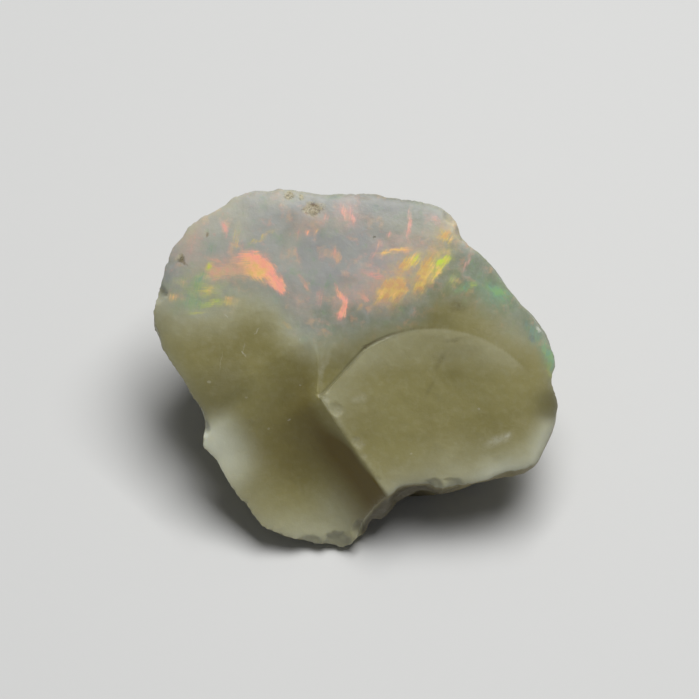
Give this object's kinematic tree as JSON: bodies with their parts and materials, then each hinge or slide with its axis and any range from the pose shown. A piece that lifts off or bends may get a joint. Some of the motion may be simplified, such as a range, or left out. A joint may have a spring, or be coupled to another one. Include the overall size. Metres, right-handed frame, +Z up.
{
  "type": "rough opal specimen",
  "caption": "Broken lump of rough opal with a leaning show face, a raised plateau, a long trough and a flat underside to rest on.",
  "frame": {"origin": "a point of the flat foot, under the middle of the lump, at the surface it rests on", "axes": "+Z up from the foot; +X to the right along the show face, the longest side; +Y towards the back, away from the show face, which looks up and forward"},
  "size_m": [0.0304, 0.0207, 0.019],
  "materials": {
    "opal": "waxy grey-olive common opal, slightly translucent, under a milky blue-grey band of precious opal with orange, pink, yellow and green fire"
  },
  "bodies": {
    "root": {"opal": "opal"}
  },
  "joints": []
}
